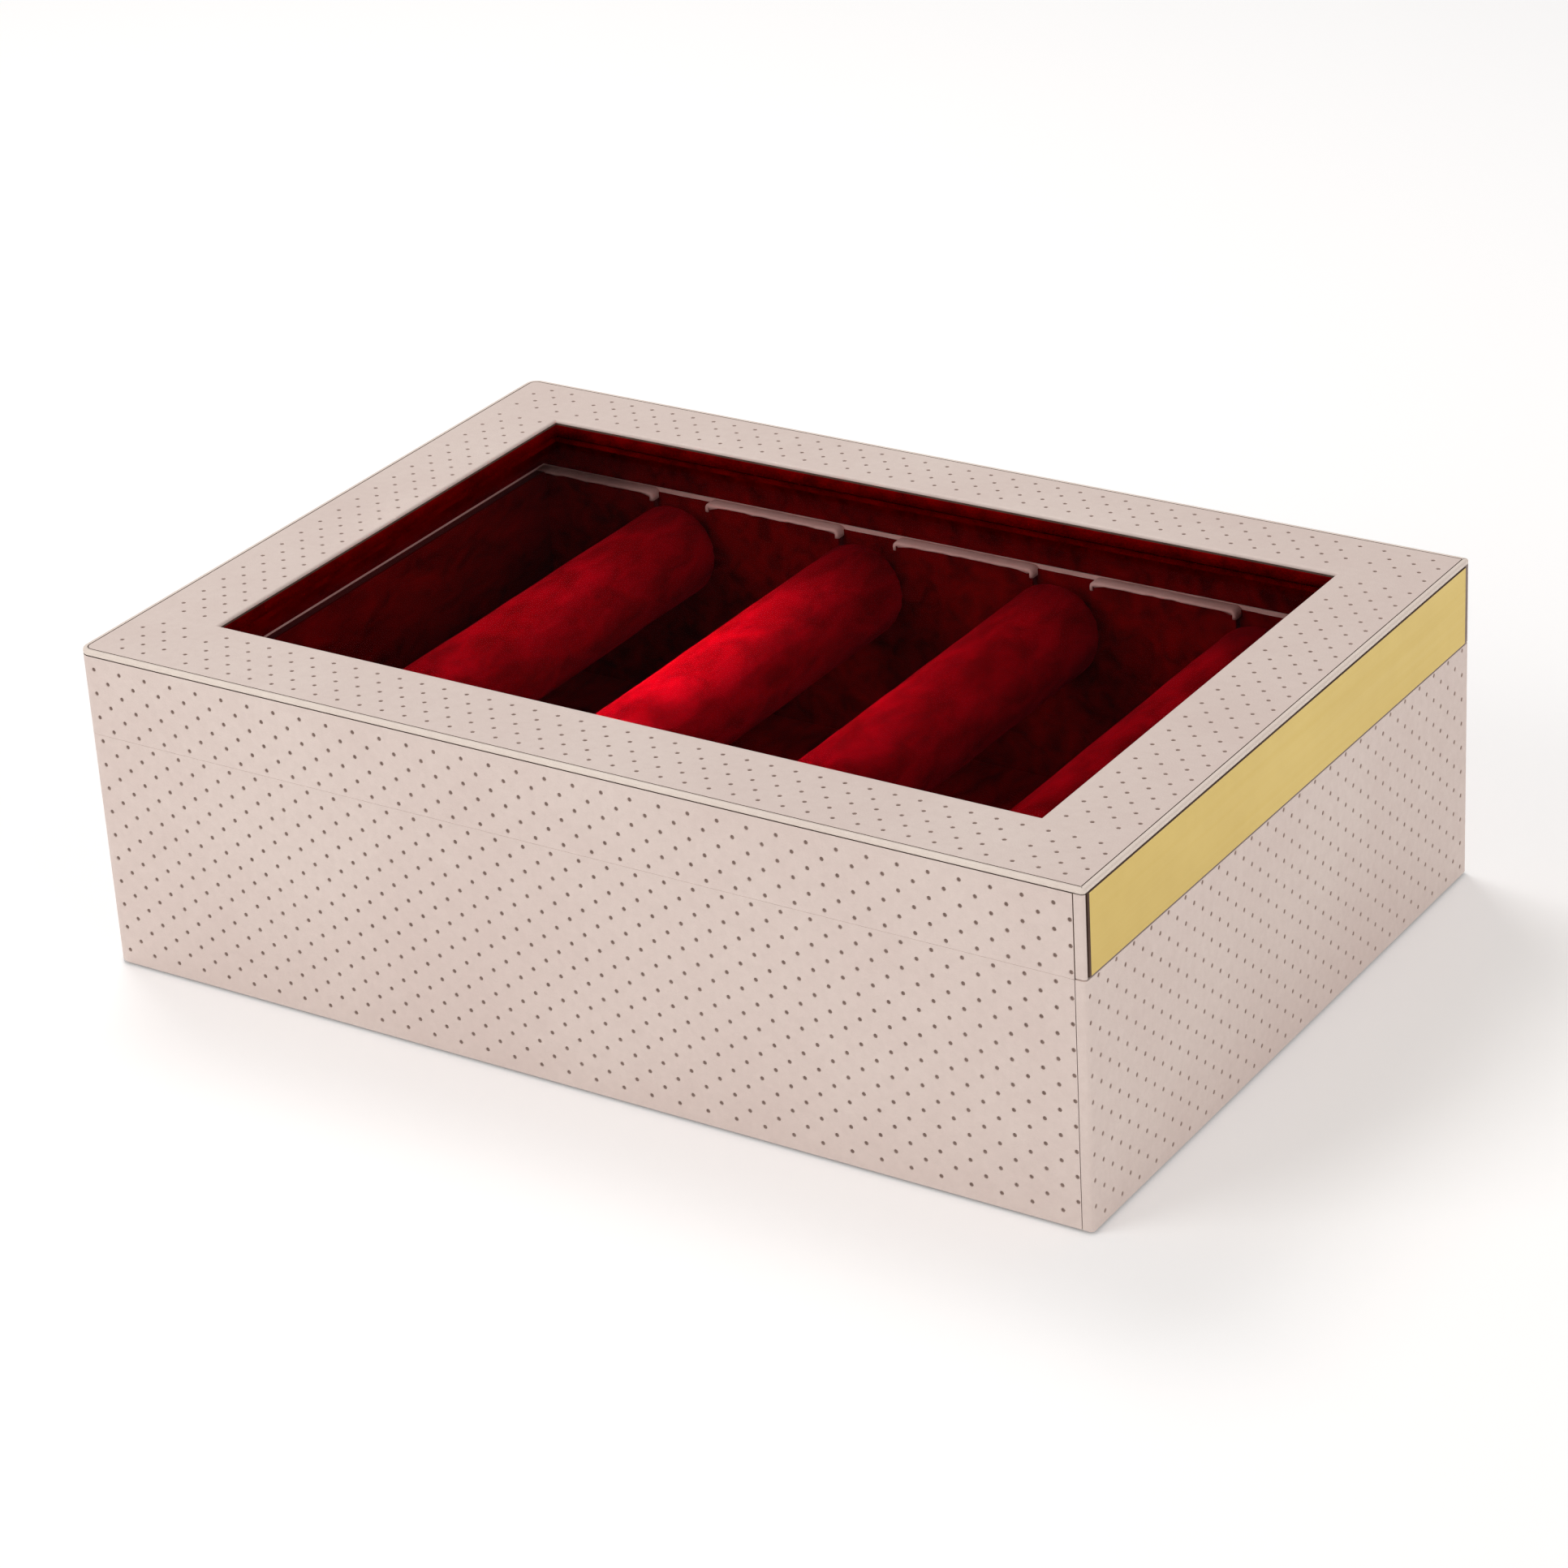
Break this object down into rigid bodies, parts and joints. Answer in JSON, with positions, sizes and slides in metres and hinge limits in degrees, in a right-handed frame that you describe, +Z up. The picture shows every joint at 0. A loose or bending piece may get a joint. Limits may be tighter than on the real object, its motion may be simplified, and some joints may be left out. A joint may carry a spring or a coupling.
{
  "type": "bangle box",
  "caption": "Oblong perforated-leatherette bangle case with a windowed hinged lid, a gold end plate and lift-out velvet rolls across its red lined base.",
  "frame": {"origin": "middle of the underside, which stands on the table", "axes": "+Z up, +X along the length towards the plated end, +Y across the width"},
  "size_m": [0.2938, 0.2, 0.09],
  "materials": {
    "perforated_leatherette": "matte pinkish cream leatherette with a lattice of small punched holes",
    "lining_velvet": "deep red velvet, short pile",
    "roll_velvet": "crimson velvet, short pile",
    "gold_plate": "satin pale gold sheet",
    "dark_backing": "dark brown board",
    "clear_pane": "clear polished sheet",
    "case_board": "raw dense board",
    "liner_card": "pale pink card",
    "sole_paper": "plain lining paper",
    "hinge_brass": "satin brass",
    "magnet_metal": "nickel-plated",
    "foam": "open wadding",
    "core_wood": "plain turned softwood"
  },
  "bodies": {
    "base": {"base_board_front": "case_board", "base_board_hinge_end": "case_board", "base_board_plate_end": "case_board", "base_board_rear": "case_board", "base_cover_end": "perforated_leatherette", "base_cover_wrap": "perforated_leatherette", "base_floor_board": "case_board", "base_floor_velvet": "lining_velvet", "base_magnets": "magnet_metal", "base_sole": "sole_paper", "hinge_leaves_base": "hinge_brass", "hinge_pins": "hinge_brass", "hinge_screws_base": "hinge_brass", "liner_front": "liner_card", "liner_hinge_end": "liner_card", "liner_plate_end": "liner_card", "liner_rear": "liner_card", "liner_velvet_front": "lining_velvet", "liner_velvet_hinge_end": "lining_velvet", "liner_velvet_plate_end": "lining_velvet", "liner_velvet_rear": "lining_velvet"},
    "lid": {"end_plate": "gold_plate", "hinge_leaves_lid": "hinge_brass", "hinge_screws_lid": "hinge_brass", "lid_board_front": "case_board", "lid_board_hinge_end": "case_board", "lid_board_plate_end": "case_board", "lid_board_rear": "case_board", "lid_cover_end": "perforated_leatherette", "lid_cover_wrap": "perforated_leatherette", "lid_magnets": "magnet_metal", "lid_top_board": "case_board", "lid_top_cover": "perforated_leatherette", "lid_velvet_lining": "lining_velvet", "pane_retainer": "lining_velvet", "plate_backing": "dark_backing", "window_pane": "clear_pane"},
    "roll_1": {"roll_1_core": "core_wood", "roll_1_end_caps": "roll_velvet", "roll_1_padding": "foam", "roll_1_velvet": "roll_velvet"},
    "roll_2": {"roll_2_core": "core_wood", "roll_2_end_caps": "roll_velvet", "roll_2_padding": "foam", "roll_2_velvet": "roll_velvet"},
    "roll_3": {"roll_3_core": "core_wood", "roll_3_end_caps": "roll_velvet", "roll_3_padding": "foam", "roll_3_velvet": "roll_velvet"},
    "roll_4": {"roll_4_core": "core_wood", "roll_4_end_caps": "roll_velvet", "roll_4_padding": "foam", "roll_4_velvet": "roll_velvet"}
  },
  "joints": [
    {"name": "lid_hinge", "type": "hinge", "parent": "base", "child": "lid", "pos_m": [-0.1467, 0, 0.0666], "axis": [0, -1, 0], "range_deg": [0, 95]},
    {"name": "roll_1_lift", "type": "slide", "parent": "base", "child": "roll_1", "axis": [0, 0, 1], "range_m": [0, 0.015]},
    {"name": "roll_2_lift", "type": "slide", "parent": "base", "child": "roll_2", "axis": [0, 0, 1], "range_m": [0, 0.015]},
    {"name": "roll_3_lift", "type": "slide", "parent": "base", "child": "roll_3", "axis": [0, 0, 1], "range_m": [0, 0.015]},
    {"name": "roll_4_lift", "type": "slide", "parent": "base", "child": "roll_4", "axis": [0, 0, 1], "range_m": [0, 0.015]}
  ]
}
